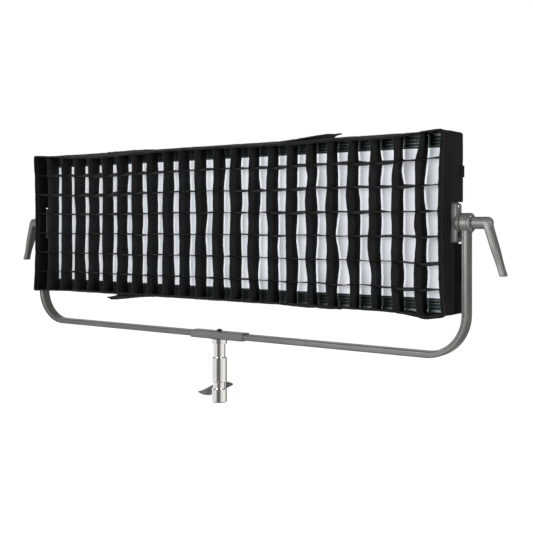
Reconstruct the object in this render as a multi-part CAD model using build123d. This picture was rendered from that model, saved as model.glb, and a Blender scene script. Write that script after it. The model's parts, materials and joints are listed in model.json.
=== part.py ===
from build123d import *
import math
import os

# LED strip soft light with a fabric egg-crate grid, hung in a bent-tube yoke on a 28.6 mm spigot.
# Millimetres. +X runs along the lamp, -Y is the way it shines and +Z is up. The origin lies on the
# spigot's axis, in the middle of its locking groove, where the stand's screw bites.

# ---- driving dimensions ------------------------------------------------------------------------
CELL = 40.0  # one square cell of the grid
COLUMNS = 23
ROWS = 7
GRID_LENGTH = CELL * COLUMNS
GRID_HEIGHT = CELL * ROWS
CLOTH = 1.5  # thickness of one fabric wall
STRIP = 1.2  # thickness of one fabric divider
GRID_DEPTH = 33.0  # how deep the dividers are
SKIRT_DEPTH = 75.0  # how deep the outer walls are
FRONT_Y = -45.0  # front plane of the grid; the tilt axis is the line y = 0

PIVOT_Z = 295.0  # height of the tilt axis above the origin
SLEEVE_BOTTOM = PIVOT_Z - 211.0
SLEEVE_HEIGHT = 14.0
SLEEVE_LENGTH = 120.0
SLEEVE_DEPTH = 24.0
ARM_X = GRID_LENGTH / 2 + 20.0  # centre line of a yoke arm
BEND_RADIUS = 65.0  # centre line of the bend
TUBE_WIDTH = 10.0
TUBE_DEPTH = 21.0
TUBE_WALL = 2.0
TUBE_GROOVE = 1.6  # depth of the groove down each narrow face
BAR_Z = SLEEVE_BOTTOM + SLEEVE_HEIGHT / 2
BAR_GAP = 6.0  # each tube stops this far from the middle, clear of the spigot's screw

HOUSING_GAP = 1.5  # between the housing and the skirt round it
HOUSING_LENGTH = GRID_LENGTH - 2 * (CLOTH + HOUSING_GAP)
HOUSING_HEIGHT = GRID_HEIGHT - 2 * (CLOTH + HOUSING_GAP)
HOUSING_FRONT = -10.0
HOUSING_BACK = 22.0
BEZEL = 21.0  # height of the ribbed strip above and below the diffuser
CAP = 6.0  # thickness of an end cap
FACE = 5.0  # thickness of the ribbed strip
RIB_PITCH = 5.0
RIB_DEPTH = 2.4
DIFFUSER = 3.0

PLATE_HEIGHT = 60.5
PLATE_HALF_Y = 12.4
PLATE_FACE = 468.0  # outer face of the pivot plate
PLATE_NOSE = 5.0  # rounding of its upright edges
PLATE_SCREW_Z = 25.0
HUB_FACE = 472.0
BOSS_START = 474.3
BOSS_NECK = 484.6  # shallow groove between the boss and its flange
BOSS_END = 489.0
BOSS_RADIUS = 15.2
BOSS_SCREW = (-4.0, 10.2)
JOURNAL_RADIUS = 9.0
STUD_RADIUS = 4.0
RUN = 0.05  # radial clearance of a running fit
AIR = 0.3  # gap between parts that move past each other

SPIGOT_RADIUS = 14.3
SPIGOT_BOTTOM = -31.0
COLLAR_RADIUS = 14.7  # shoulder that stops against the stand's receiver
GROOVE_RADIUS = 11.3
GROOVE_HEIGHT = 12.0
NECK_RADIUS = 11.5
MAIN_HEIGHT = 45.0  # full-width stretch between the groove and the neck
NECK_HEIGHT = 25.0
RECEIVER_RADIUS = 8.05  # bore for a 16 mm stud
RECEIVER_DEPTH = 45.0
WING_Z = -11.0
WING_AZIMUTH = 52.0  # how far the wing screw is turned from straight back
WING_SPAN = 67.0
THREAD_RADIUS = 4.0

HALF_X = HOUSING_LENGTH / 2
HALF_Z = HOUSING_HEIGHT / 2
GLASS_Z = HALF_Z - BEZEL
DIFFUSER_BACK = HOUSING_FRONT + FACE
CAP_SCREW = (15.5, HALF_Z - 8)  # where an end cap is screwed to the upper rail
BOX_X = 150.0  # half size of the control box
BOX_Z = 75.0
BOX_BACK = 74.0

PARTS = {}


def part(name):
    """Files what the decorated function returns under the sub-part's name."""

    def keep(make):
        PARTS[name] = make()
        return make

    return keep


# ---- helpers -----------------------------------------------------------------------------------
def block(x, y, z):
    """A box between the given (low, high) pairs; z counts from the tilt axis."""
    centre = [(a + b) / 2 for a, b in (x, y, z)]
    return Pos(centre[0], centre[1], PIVOT_Z + centre[2]) * Box(*(b - a for a, b in (x, y, z)))


def rod_x(start, end, radius, y=0.0, z=0.0):
    """A cylinder along X; z counts from the tilt axis."""
    length = abs(end - start)
    return Pos((start + end) / 2, y, PIVOT_Z + z) * Rot(0, 90, 0) * Cylinder(radius, length)


def rod_y(start, end, radius, x=0.0, z=0.0):
    """A cylinder along Y; z counts from the tilt axis."""
    length = abs(end - start)
    return Pos(x, (start + end) / 2, PIVOT_Z + z) * Rot(90, 0, 0) * Cylinder(radius, length)


def rod_z(start, end, radius):
    """A cylinder on the spigot's axis between two heights above the origin."""
    return Pos(0, 0, (start + end) / 2) * Cylinder(radius, end - start)


def solids_of(shapes):
    """Separate solids kept side by side in one sub-part."""
    return Compound(children=[s for shape in shapes for s in shape.solids()])


def left_of(shape):
    """The left-hand copy of a right-hand piece."""
    return mirror(shape, about=Plane.YZ)


def socket_screw(radius, head_radius, head_height, length):
    """A socket-head screw along +Z: the head's underside is at z = 0 and the shank goes down."""
    head = Pos(0, 0, head_height / 2) * Cylinder(head_radius, head_height)
    head = chamfer(head.edges().group_by(Axis.Z)[-1], head_height * 0.2)
    key = Pos(0, 0, head_height) * extrude(RegularPolygon(head_radius * 0.5, 6), head_height * 0.6, both=True)
    return head - key + Pos(0, 0, -length / 2) * Cylinder(radius, length)


# ---- yoke --------------------------------------------------------------------------------------
def tube_section():
    """Oval tube with a shallow groove down each narrow face."""
    outer = RectangleRounded(TUBE_WIDTH, TUBE_DEPTH, 2.6)
    groove = Rectangle(3.4, 2 * TUBE_GROOVE)
    for side in (-1, 1):
        outer -= Pos(0, side * TUBE_DEPTH / 2) * groove
    inner = RectangleRounded(TUBE_WIDTH - 2 * TUBE_WALL, TUBE_DEPTH - 2 * TUBE_WALL - 2.4, 1.5)
    return outer - inner


def yoke_tube():
    """One bent half of the yoke, from the sleeve's middle to the arm's top, coped round its boss."""
    top = Vector(ARM_X, 0, PIVOT_Z - 4)
    corner = Vector(ARM_X, 0, BAR_Z)
    middle = Vector(BAR_GAP, 0, BAR_Z)
    path = FilletPolyline(top, corner, middle, radius=BEND_RADIUS)
    start = Plane(origin=top, x_dir=(1, 0, 0), z_dir=(0, 0, -1))
    return sweep(start * tube_section(), path=path) - rod_x(BOSS_START, BOSS_END, BOSS_RADIUS + 0.01)


def arm_boss():
    """Cast boss welded to the top of an arm, bored for the pivot journal."""
    body = rod_x(BOSS_START, BOSS_END, BOSS_RADIUS)
    body = chamfer(body.edges().filter_by(GeomType.CIRCLE).group_by(Axis.X)[-1], 1.4)
    body -= rod_x(BOSS_NECK, BOSS_NECK + 0.9, BOSS_RADIUS + 1) - rod_x(BOSS_NECK, BOSS_NECK + 0.9, BOSS_RADIUS - 0.9)
    body -= rod_x(BOSS_START - 1, BOSS_END - 4, JOURNAL_RADIUS + RUN)
    return body - rod_x(BOSS_START, BOSS_END + 1, STUD_RADIUS + 0.4)


def boss_screws():
    """Two bright screws in the face of each boss."""
    right = []
    y, z = BOSS_SCREW
    for side in (-1, 1):
        screw = socket_screw(1.2, 2.0, 1.0, 3.2)
        right.append(Pos(BOSS_END - 0.4, y, PIVOT_Z + side * z) * Rot(0, 90, 0) * screw)
    return right


@part("yoke_tube_right")
def yoke_tube_right():
    return yoke_tube()


@part("yoke_tube_left")
def yoke_tube_left():
    return left_of(yoke_tube())


@part("arm_boss_right")
def arm_boss_right():
    boss = arm_boss()
    for screw in boss_screws():
        boss -= screw
    return boss


@part("arm_boss_left")
def arm_boss_left():
    return left_of(PARTS["arm_boss_right"])


@part("boss_screws")
def all_boss_screws():
    right = boss_screws()
    return solids_of(right + [left_of(s) for s in right])


@part("yoke_sleeve")
def yoke_sleeve():
    """The box sleeve that joins the two tubes and carries the spigot."""
    low, high = SLEEVE_BOTTOM, SLEEVE_BOTTOM + SLEEVE_HEIGHT
    outer = Pos(0, 0, BAR_Z) * Box(SLEEVE_LENGTH, SLEEVE_DEPTH, SLEEVE_HEIGHT)
    outer = fillet(outer.edges().filter_by(Axis.X), 2.5)
    outer = chamfer(outer.faces().filter_by(Axis.X).edges(), 0.8)
    for side in (-1, 1):
        for height in (-3.0, 1.6):
            groove = Pos(0, side * SLEEVE_DEPTH / 2, BAR_Z + height) * Box(SLEEVE_LENGTH + 1, 1.6, 1.6)
            outer -= groove
    bore = Plane.YZ * RectangleRounded(TUBE_DEPTH + 0.04, TUBE_WIDTH + 0.04, 2.6)
    outer -= Pos(0, 0, BAR_Z) * extrude(bore, SLEEVE_LENGTH, both=True)
    outer -= rod_z(low - 1, high + 1, 5.1)
    for x in (-42.0, 42.0):
        outer -= Pos(x, 0, high) * Cylinder(2.6, 8.0)
    return outer


@part("sleeve_screws")
def sleeve_screws():
    """Two grub screws that clamp the tubes in the sleeve."""
    top = SLEEVE_BOTTOM + SLEEVE_HEIGHT
    grubs = []
    for x in (-42.0, 42.0):
        grub = Pos(x, 0, top - 1.4) * Cylinder(2.5, 1.0)
        grubs.append(grub - Pos(x, 0, top - 0.9) * extrude(RegularPolygon(1.3, 6), 0.7, both=True))
    return solids_of(grubs)


# ---- spigot ------------------------------------------------------------------------------------
def wing_frame(distance):
    """A place on the wing screw's axis, its Z pointing out of the spigot."""
    turn = math.radians(WING_AZIMUTH)
    out = Vector(-math.sin(turn), math.cos(turn), 0)
    across = Vector(math.cos(turn), math.sin(turn), 0)
    return Plane(origin=out * distance + Vector(0, 0, WING_Z), x_dir=across, z_dir=out)


@part("spigot")
def spigot():
    """Turned 28.6 mm spigot with a neck, a locking groove and a 16 mm receiver in its lower end."""
    half_groove = GROOVE_HEIGHT / 2
    neck_low = half_groove + MAIN_HEIGHT
    neck_high = neck_low + NECK_HEIGHT
    body = rod_z(SPIGOT_BOTTOM, SLEEVE_BOTTOM, SPIGOT_RADIUS)
    body = chamfer(body.edges().group_by(Axis.Z)[0], 1.6)
    body -= rod_z(-half_groove, half_groove, 20) - rod_z(-half_groove, half_groove, GROOVE_RADIUS)
    body -= rod_z(neck_low, neck_high, 20) - rod_z(neck_low, neck_high, NECK_RADIUS)
    shoulders = [e for e in body.edges().filter_by(GeomType.CIRCLE) if abs(e.radius - SPIGOT_RADIUS) < 0.01]
    shoulders = [e for e in shoulders if -half_groove - 1 < e.center().Z < neck_low + 1]
    body = chamfer(shoulders, 0.8)
    body += rod_z(neck_high, SLEEVE_BOTTOM, COLLAR_RADIUS)
    body -= rod_z(SPIGOT_BOTTOM - 1, SPIGOT_BOTTOM + RECEIVER_DEPTH, RECEIVER_RADIUS)
    body -= rod_z(SLEEVE_BOTTOM - 22, SLEEVE_BOTTOM + 1, 4.0)
    body -= wing_frame(4.0) * extrude(Circle(THREAD_RADIUS + RUN), 20)
    return body


@part("spigot_screw")
def spigot_screw():
    """Button-head screw through the sleeve into the spigot."""
    top = SLEEVE_BOTTOM + SLEEVE_HEIGHT
    dome = Pos(0, 0, top - 3.0) * Sphere(7.6) & Pos(0, 0, top + 3) * Box(20, 20, 6)
    dome -= Pos(0, 0, top + 4.6) * extrude(RegularPolygon(2.9, 6), 2.6, both=True)
    return dome + rod_z(SLEEVE_BOTTOM - 18, top + 0.5, 3.98)


@part("pressure_pad")
def pressure_pad():
    """Brass pad that the wing screw pushes against a stud in the receiver."""
    return wing_frame(RECEIVER_RADIUS + 0.6) * extrude(Circle(THREAD_RADIUS), 1.8)


@part("wing_screw")
def wing_screw():
    """Cast wing screw: threaded shank, hub and two wings curved like a propeller's."""
    frame = wing_frame(0)
    shank = Pos(0, 0, RECEIVER_RADIUS + 2.7) * extrude(Circle(THREAD_RADIUS), 11.0)
    hub = Pos(0, 0, SPIGOT_RADIUS + 3.0) * extrude(Circle(8.0), 13.0)
    hub = fillet(hub.edges().group_by(Axis.Z)[-1], 2.0)
    half = WING_SPAN / 2
    with BuildLine() as side_view:
        Polyline((2, 13), (2, 1), (11, 1), (half - 3, 8), (half, 13), (half - 1.5, 15))
        Spline((half - 1.5, 15), (half - 13, 12.5), (14, 13.6), (2, 13))
    with BuildLine() as end_view:
        Spline((4, -7.4), (13, -10.6), (23, -10.4), (half, -5.6))
        Line((half, -5.6), (half, -4.8))
        Spline((half, -4.8), (24, -2.0), (14, 2.2), (4, 6.4))
        Line((4, 6.4), (4, -7.4))
    wing = extrude(make_face(Plane.XZ * side_view.line), 14, both=True)
    wing = wing & extrude(make_face(end_view.line), 20)
    wing = Pos(0, 0, SPIGOT_RADIUS + 2.6) * wing
    return frame * (shank + hub + wing + Rot(0, 0, 180) * wing)


# ---- clamping levers ---------------------------------------------------------------------------
WASHER_END = BOSS_END + AIR + 1.2
STUD_FLANGE = WASHER_END + 0.1
FLANGE = 1.6
LEVER_START = WASHER_END + AIR
INSERT_END = LEVER_START + 9.5
LEVER_ELBOW = 513.0
LEVER_RADIUS = 9.3
LEVER_SPLAY = 17.5
LEVER_DROP = 79.2  # the tip is this far below the tilt axis
POCKET_RIM = 2.6
POCKET_DEPTH = 1.1


def clamp_washer():
    ring = rod_x(BOSS_END + AIR, WASHER_END, 8.5)
    return ring - rod_x(BOSS_END, WASHER_END + 1, STUD_RADIUS + RUN)


def clamp_stud():
    """Threaded stud with the serrated insert that the handle engages and the screw that keeps it."""
    stud = rod_x(PLATE_FACE - 2, INSERT_END, STUD_RADIUS)
    flange = rod_x(STUD_FLANGE, STUD_FLANGE + FLANGE, 8.0)
    insert = rod_x(STUD_FLANGE, INSERT_END, 5.2)
    for step in range(12):
        tooth = Rot(step * 30, 0, 0) * Pos(0, 5.2, 0) * Box(6.0, 1.2, 1.2)
        insert += Pos(INSERT_END - 4, 0, PIVOT_Z) * tooth
    keeper = rod_x(INSERT_END, INSERT_END + 8, 2.0) + rod_x(INSERT_END + 8, INSERT_END + 10, 3.6)
    return stud + flange + insert + keeper


def lever_spring():
    ring = rod_x(INSERT_END + AIR, INSERT_END + 8 - AIR, 3.4)
    return ring - rod_x(INSERT_END, INSERT_END + 8, 2.3)


def lever():
    """Cast handle: a round shaft, an elbow and a splayed arm with a pocket in its outer face."""
    shaft = rod_x(LEVER_START, LEVER_ELBOW, LEVER_RADIUS)
    shaft = chamfer(shaft.edges().filter_by(GeomType.CIRCLE).group_by(Axis.X)[0], 0.8)
    elbow = Pos(LEVER_ELBOW, 0, PIVOT_Z) * Sphere(LEVER_RADIUS)
    # along the arm: (distance, thickness, width front to back)
    stations = [(0.0, 13.0, 18.2), (14.0, 10.6, 18.4), (36.0, 10.2, 18.0), (47.0, 10.0, 16.4)]
    stations += [(60.0, 9.6, 13.6), (70.0, 9.4, 12.8), (90.0, 9.4, 13.6)]
    arm = loft([lever_frame(d) * RectangleRounded(t, w, t * 0.3) for d, t, w in stations])
    arm -= block((400, 600), (-30, 30), (-LEVER_DROP - 40, -LEVER_DROP))
    arm = fillet(arm.faces().sort_by(Axis.Z)[0].edges(), 1.6)
    floor = [lever_frame(d, t / 2) * Rectangle(2 * POCKET_DEPTH, w - 2 * POCKET_RIM) for d, t, w in stations[1:-1]]
    body = shaft + elbow + arm - loft(floor)
    body -= rod_x(LEVER_START - 1, STUD_FLANGE + FLANGE + AIR, 8.0 + AIR)
    body -= rod_x(LEVER_START - 1, INSERT_END + AIR, 6.2)
    return body - rod_x(LEVER_START, INSERT_END + 14.5, 4.2)


def lever_frame(distance, outwards=0.0):
    """A place along the lever's arm: X across its thickness, Z down its length."""
    splay = math.radians(LEVER_SPLAY)
    down = Vector(math.sin(splay), 0, -math.cos(splay))
    across = Vector(math.cos(splay), 0, math.sin(splay))
    centre = Vector(LEVER_ELBOW, 0, PIVOT_Z) + down * distance + across * outwards
    return Plane(origin=centre, x_dir=across, z_dir=down)


@part("clamp_washer_right")
def clamp_washer_right():
    return clamp_washer()


@part("clamp_washer_left")
def clamp_washer_left():
    return left_of(clamp_washer())


@part("clamp_stud_right")
def clamp_stud_right():
    return clamp_stud()


@part("clamp_stud_left")
def clamp_stud_left():
    return left_of(clamp_stud())


@part("lever_spring_right")
def lever_spring_right():
    return lever_spring()


@part("lever_spring_left")
def lever_spring_left():
    return left_of(lever_spring())


@part("lever_right")
def lever_right():
    return lever()


@part("lever_left")
def lever_left():
    return left_of(lever())


# ---- lamp housing ------------------------------------------------------------------------------
def rail():
    """Upper extrusion: front strip with V-shaped ribs, outer wall, diffuser ledge and tray ledge."""
    end = HALF_X - CAP
    wall = block((-end, end), (HOUSING_FRONT, HOUSING_BACK - 2), (HALF_Z - 3, HALF_Z))
    strip = block((-end, end), (HOUSING_FRONT, DIFFUSER_BACK), (GLASS_Z, HALF_Z))
    ledge = block((-end, end), (DIFFUSER_BACK, DIFFUSER_BACK + 2), (GLASS_Z - 5, GLASS_Z + 3))
    web = block((-end, end), (14, 17), (HALF_Z - 14, HALF_Z - 3))
    body = wall + strip + ledge + web
    with BuildLine() as groove_line:
        half = RIB_PITCH / 2 - 0.2
        Polyline((-1, -half), (0, -half), (RIB_DEPTH, 0), (0, half), (-1, half), close=True)
    groove = extrude(Plane.YZ * make_face(groove_line.line), end + 1, both=True)
    for row in range(4):
        body -= Pos(0, HOUSING_FRONT, PIVOT_Z + HALF_Z - 3.2 - (row + 0.5) * RIB_PITCH) * groove
    y, z = CAP_SCREW
    for side in (-1, 1):
        body -= rod_x(side * (end - 6), side * (end + 1), 1.6, y=y, z=z)
    return body


def end_cap():
    """Right-hand cap: end plate with a rim and the narrow strip beside the diffuser."""
    plate = block((HALF_X - CAP, HALF_X), (HOUSING_FRONT, HOUSING_BACK), (-HALF_Z, HALF_Z))
    plate = fillet(plate.edges().filter_by(Axis.Y), 1.2)
    strip = block((HALF_X - 2 * CAP, HALF_X - CAP), (HOUSING_FRONT, DIFFUSER_BACK), (-GLASS_Z, GLASS_Z))
    body = plate + strip
    for y, z in cap_screw_places():
        body -= rod_x(HALF_X - CAP - 1, HALF_X + 1, 1.6, y=y, z=z)
        body -= rod_x(HALF_X - 0.9, HALF_X + 1, 3.2, y=y, z=z)
    for y, z in plate_screw_places():
        body -= rod_x(HALF_X - CAP - 1, HALF_X + 1, 2.05, y=y, z=z)
    return body


def cap_screw_places():
    y, z = CAP_SCREW
    return [(y, side * z) for side in (-1, 1)]


def plate_screw_places():
    return [(0.0, side * PLATE_SCREW_Z) for side in (-1, 1)]


def pivot_plate():
    """Right-hand plate with its hub and the journal that the arm's boss turns on."""
    half = PLATE_HEIGHT / 2
    plate = block((HALF_X, PLATE_FACE), (-PLATE_HALF_Y, PLATE_HALF_Y), (-half, half))
    plate = fillet(plate.edges().filter_by(Axis.X), 2.5)
    plate = fillet(plate.faces().sort_by(Axis.X)[-1].edges().filter_by(Axis.Z), PLATE_NOSE)
    hub = rod_x(PLATE_FACE - 1, HUB_FACE, BOSS_RADIUS)
    journal = rod_x(HUB_FACE - 1, BOSS_END - 5, JOURNAL_RADIUS)
    body = plate + hub + journal
    body -= rod_x(PLATE_FACE - 4, BOSS_END, STUD_RADIUS + RUN)
    for y, z in plate_screw_places():
        body -= rod_x(HALF_X - 1, PLATE_FACE + 1, 2.05, y=y, z=z)
        body -= rod_x(PLATE_FACE - 2.6, PLATE_FACE + 1, 3.7, y=y, z=z)
    return body


@part("top_rail")
def top_rail():
    return rail()


@part("bottom_rail")
def bottom_rail():
    return mirror(rail(), about=Plane.XY.offset(PIVOT_Z))


@part("end_cap_right")
def end_cap_right():
    return end_cap()


@part("end_cap_left")
def end_cap_left():
    return left_of(end_cap())


@part("end_cap_screws")
def end_cap_screws():
    right = []
    for y, z in cap_screw_places():
        screw = rod_x(HALF_X - CAP - 4, HALF_X - 0.9, 1.55, y=y, z=z)
        screw += rod_x(HALF_X - 0.9, HALF_X - 0.1, 3.0, y=y, z=z)
        right.append(screw - rod_x(HALF_X - 0.6, HALF_X, 1.2, y=y, z=z))
    return solids_of(right + [left_of(s) for s in right])


@part("pivot_plate_right")
def pivot_plate_right():
    return pivot_plate()


@part("pivot_plate_left")
def pivot_plate_left():
    return left_of(pivot_plate())


@part("pivot_plate_screws")
def pivot_plate_screws():
    right = []
    for y, z in plate_screw_places():
        screw = socket_screw(2.0, 3.6, 2.8, 11.0)
        right.append(Pos(PLATE_FACE - 2.6, y, PIVOT_Z + z) * Rot(0, 90, 0) * screw)
    return solids_of(right + [left_of(s) for s in right])


@part("friction_washers")
def friction_washers():
    ring = rod_x(HUB_FACE, HUB_FACE + 2, BOSS_RADIUS - 1.2)
    ring -= rod_x(HUB_FACE - 1, HUB_FACE + 3, JOURNAL_RADIUS + 0.1)
    return solids_of([ring, left_of(ring)])


@part("diffuser")
def diffuser():
    edge = HALF_X - 2 * CAP - 0.3
    return block((-edge, edge), (DIFFUSER_BACK - DIFFUSER, DIFFUSER_BACK), (0.3 - GLASS_Z, GLASS_Z - 0.3))


@part("reflector_frame")
def reflector_frame():
    """White side walls of the light chamber."""
    outer = block((-444, 444), (DIFFUSER_BACK + 2.2, 11.8), (-120, 120))
    return outer - block((-442.5, 442.5), (-10, 13), (-118.5, 118.5))


@part("led_boards")
def led_boards():
    """Four boards side by side on the tray."""
    boards = []
    for index in range(4):
        low = -440 + index * 220
        boards.append(block((low + 0.5, low + 219.5), (10.2, 11.8), (-116, 116)))
    return solids_of(boards)


@part("led_chips")
def led_chips():
    """Warm, cool and colour emitters in rows, a few millimetres square."""
    chips = []
    for column in range(24):
        for row in range(6):
            x = (column - 11.5) * 36.0
            z = (row - 2.5) * 37.0
            chips.append(block((x - 2.5, x + 2.5), (9.2, 10.2), (z - 2.5, z + 2.5)))
    return solids_of(chips)


@part("led_tray")
def led_tray():
    """Aluminium sheet that carries the boards and spreads their heat to the sinks."""
    return block((-446, 446), (11.8, 14.0), (-131, 131))


@part("back_panel")
def back_panel():
    edge = HALF_X - CAP
    panel = block((-edge, edge), (HOUSING_BACK - 2, HOUSING_BACK), (-HALF_Z, HALF_Z))
    for side in (-1, 1):
        for slot in range(5):
            x = side * (184 + slot * 56)
            for z in (-122, 122):
                panel -= Pos(x, HOUSING_BACK, PIVOT_Z + z) * Rot(90, 0, 0) * extrude(SlotOverall(40, 5), 9, both=True)
    return panel


@part("heat_sinks")
def heat_sinks():
    """Two finned extrusions on the back, their fins upright so that air can rise between them."""
    right = block((166, 436), (HOUSING_BACK, HOUSING_BACK + 3), (-108, 108))
    for fin in range(21):
        x = 171 + fin * 13.0
        right += block((x - 1, x + 1), (HOUSING_BACK + 2, HOUSING_BACK + 17), (-108, 108))
    return solids_of([right, left_of(right)])


# ---- rear controls -----------------------------------------------------------------------------
KNOB_X = 105.0
KNOB_Z = 28.0
KNOB_RADIUS = 13.0
BUTTONS = {"menu_button": -24.0, "mode_button": 0.0, "back_button": 24.0}
BUTTON_Z = -12.0
SOCKET_Z = -47.0
INLET_X = 105.0
INLET_HALF = (12.2, 8.2)  # half width and height of the inlet's well
INLET_WELL = 15.0
SWITCH_X = 62.0
DATA_IN_X = -112.0
DATA_OUT_X = -76.0
DATA_WELL = 9.0
DATA_BORE = 9.6
DATA_PINS = [(4.4 * math.cos(math.radians(a)), 4.4 * math.sin(math.radians(a))) for a in range(-30, 211, 60)]
WALL = 2.5


@part("control_box")
def control_box():
    """Shell over the power supply and driver, open towards the lamp and at its rear face."""
    outer = block((-BOX_X, BOX_X), (HOUSING_BACK, BOX_BACK), (-BOX_Z, BOX_Z))
    outer = fillet(outer.edges().filter_by(Axis.Y), 8.0)
    outer = chamfer(outer.faces().sort_by(Axis.Y)[-1].edges(), 1.5)
    inner = block((WALL - BOX_X, BOX_X - WALL), (HOUSING_BACK - 1, BOX_BACK - WALL), (WALL - BOX_Z, BOX_Z - WALL))
    window = block((-138, 138), (BOX_BACK - 5, BOX_BACK + 1), (-66, 66))
    body = outer - inner - window
    for side in (-1, 1):
        for slot in range(6):
            z = -40 + slot * 16
            body -= block((side * BOX_X - 4, side * BOX_X + 4), (40, 64), (z - 2, z + 2))
    return body


@part("control_face")
def control_face():
    """Rear panel with its openings for the display, knobs, buttons and sockets."""
    face = block((-137.7, 137.7), (BOX_BACK - 2.2, BOX_BACK - 0.2), (-65.7, 65.7))
    for x in (-KNOB_X, KNOB_X):
        face -= rod_y(BOX_BACK - 4, BOX_BACK + 1, 3.4, x=x, z=KNOB_Z)
    face -= block((-44.5, 44.5), (60, 80), (KNOB_Z - 20, KNOB_Z + 20))
    for x in BUTTONS.values():
        face -= block((x - 7.4, x + 7.4), (60, 80), (BUTTON_Z - 4.4, BUTTON_Z + 4.4))
    face -= block((INLET_X - 13.7, INLET_X + 13.7), (60, 80), (SOCKET_Z - 9.7, SOCKET_Z + 9.7))
    face -= block((SWITCH_X - 7, SWITCH_X + 7), (60, 80), (SOCKET_Z - 11, SOCKET_Z + 11))
    for x in (DATA_IN_X, DATA_OUT_X):
        face -= rod_y(60, 80, 11.5, x=x, z=SOCKET_Z)
    return face


@part("display_window")
def display_window():
    return block((-44.3, 44.3), (BOX_BACK - 2.6, BOX_BACK - 0.6), (KNOB_Z - 19.8, KNOB_Z + 19.8))


@part("display_module")
def display_module():
    return block((-42, 42), (BOX_BACK - 8.0, BOX_BACK - 2.8), (KNOB_Z - 18, KNOB_Z + 18))


@part("driver_board")
def driver_board():
    return block((-140, -20), (48, 49.6), (-66, 60))


@part("power_supply")
def power_supply():
    return block((0, 134), (HOUSING_BACK + 3, 54), (-66, 4))


def inlet_blades():
    """Two flat blades and the earth blade above them."""
    back = BOX_BACK - 0.2
    blades = []
    for x, z in ((-7.0, -2.0), (7.0, -2.0), (0.0, 2.0)):
        places = (INLET_X + x - 1, INLET_X + x + 1), (SOCKET_Z + z - 2, SOCKET_Z + z + 2)
        blades.append(block(places[0], (back - INLET_WELL - 1, back - 3), places[1]))
    return blades


def data_pins():
    """Five round pins of the incoming connector."""
    back = BOX_BACK - 0.2
    return [rod_y(back - DATA_WELL - 1.5, back - 1.5, 0.95, x=DATA_IN_X + x, z=SOCKET_Z + z) for x, z in DATA_PINS]


@part("power_inlet")
def power_inlet():
    """Snap-in mains inlet with a rectangular well."""
    back = BOX_BACK - 0.2
    half_x, half_z = INLET_HALF
    flange = block((INLET_X - 16, INLET_X + 16), (back, back + 2.4), (SOCKET_Z - 12, SOCKET_Z + 12))
    flange = fillet(flange.edges().filter_by(Axis.Y), 2.0)
    sides = (INLET_X - half_x - 1.4, INLET_X + half_x + 1.4), (SOCKET_Z - half_z - 1.4, SOCKET_Z + half_z + 1.4)
    shell = block(sides[0], (back - INLET_WELL - 1.8, back), sides[1])
    sides = (INLET_X - half_x, INLET_X + half_x), (SOCKET_Z - half_z, SOCKET_Z + half_z)
    well = block(sides[0], (back - INLET_WELL, back + 3), sides[1])
    well = chamfer(well.edges().filter_by(Axis.Y).group_by(Axis.Z)[-1], 4.0)
    body = flange + shell - well
    for blade in inlet_blades():
        body -= blade
    return body


@part("data_sockets")
def data_sockets():
    """Incoming control-signal connector, an open well, and the outgoing one with its solid core."""
    back = BOX_BACK - 0.2
    sockets = []
    for x in (DATA_IN_X, DATA_OUT_X):
        flange = block((x - 13, x + 13), (back, back + 1.6), (SOCKET_Z - 15, SOCKET_Z + 15))
        flange = fillet(flange.edges().filter_by(Axis.Y), 2.0)
        body = flange + rod_y(back - 12, back + 3, 11.2, x=x, z=SOCKET_Z)
        sockets.append(body - rod_y(back - DATA_WELL, back + 4, DATA_BORE, x=x, z=SOCKET_Z))
    incoming, outgoing = sockets
    for pin in data_pins():
        incoming -= pin
    outgoing += rod_y(back - DATA_WELL - 1, back + 1, DATA_BORE - 1.6, x=DATA_OUT_X, z=SOCKET_Z)
    for x, z in DATA_PINS:
        outgoing -= rod_y(back - 5, back + 2, 0.95, x=DATA_OUT_X + x, z=SOCKET_Z + z)
    return solids_of([incoming, outgoing])


@part("contact_pins")
def contact_pins():
    """Metal blades of the mains inlet and pins of the incoming control connector."""
    return solids_of(inlet_blades() + data_pins())


@part("switch_bezel")
def switch_bezel():
    back = BOX_BACK - 0.2
    ring = block((SWITCH_X - 9, SWITCH_X + 9), (back, back + 1.6), (SOCKET_Z - 14, SOCKET_Z + 14))
    ring += block((SWITCH_X - 6.8, SWITCH_X + 6.8), (back - 12, back), (SOCKET_Z - 10.8, SOCKET_Z + 10.8))
    return ring - block((SWITCH_X - 5.6, SWITCH_X + 5.6), (back - 10, back + 3), (SOCKET_Z - 9.6, SOCKET_Z + 9.6))


@part("power_rocker")
def power_rocker():
    """Rocker of the power switch, resting with its lower half out."""
    axis_y = BOX_BACK - 3.2
    half = Pos(0, 2.2, 0) * Rot(8, 0, 0) * Box(10.4, 4.0, 17.4)
    barrel = Rot(0, 90, 0) * Cylinder(3.0, 10.4)
    return Pos(SWITCH_X, axis_y, PIVOT_Z + SOCKET_Z) * (half + barrel)


def knob(x):
    """Knurled knob on its 6 mm shaft."""
    start = BOX_BACK + 0.4
    body = rod_y(start, start + 15, KNOB_RADIUS, x=x, z=KNOB_Z)
    body = chamfer(body.edges().filter_by(GeomType.CIRCLE).group_by(Axis.Y)[-1], 1.2)
    for flute in range(24):
        angle = math.radians(15 * flute)
        at = (x + KNOB_RADIUS * math.cos(angle), KNOB_Z + KNOB_RADIUS * math.sin(angle))
        body -= rod_y(start - 1, start + 12.5, 0.7, x=at[0], z=at[1])
    body -= rod_y(start + 14.4, start + 16, KNOB_RADIUS - 3, x=x, z=KNOB_Z)
    body -= rod_y(start + 12, start + 16, 0.9, x=x, z=KNOB_Z + 8.4)
    return body + rod_y(BOX_BACK - 10, start + 1, 3.0, x=x, z=KNOB_Z)


@part("dimmer_knob")
def dimmer_knob():
    return knob(-KNOB_X)


@part("colour_knob")
def colour_knob():
    return knob(KNOB_X)


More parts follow.
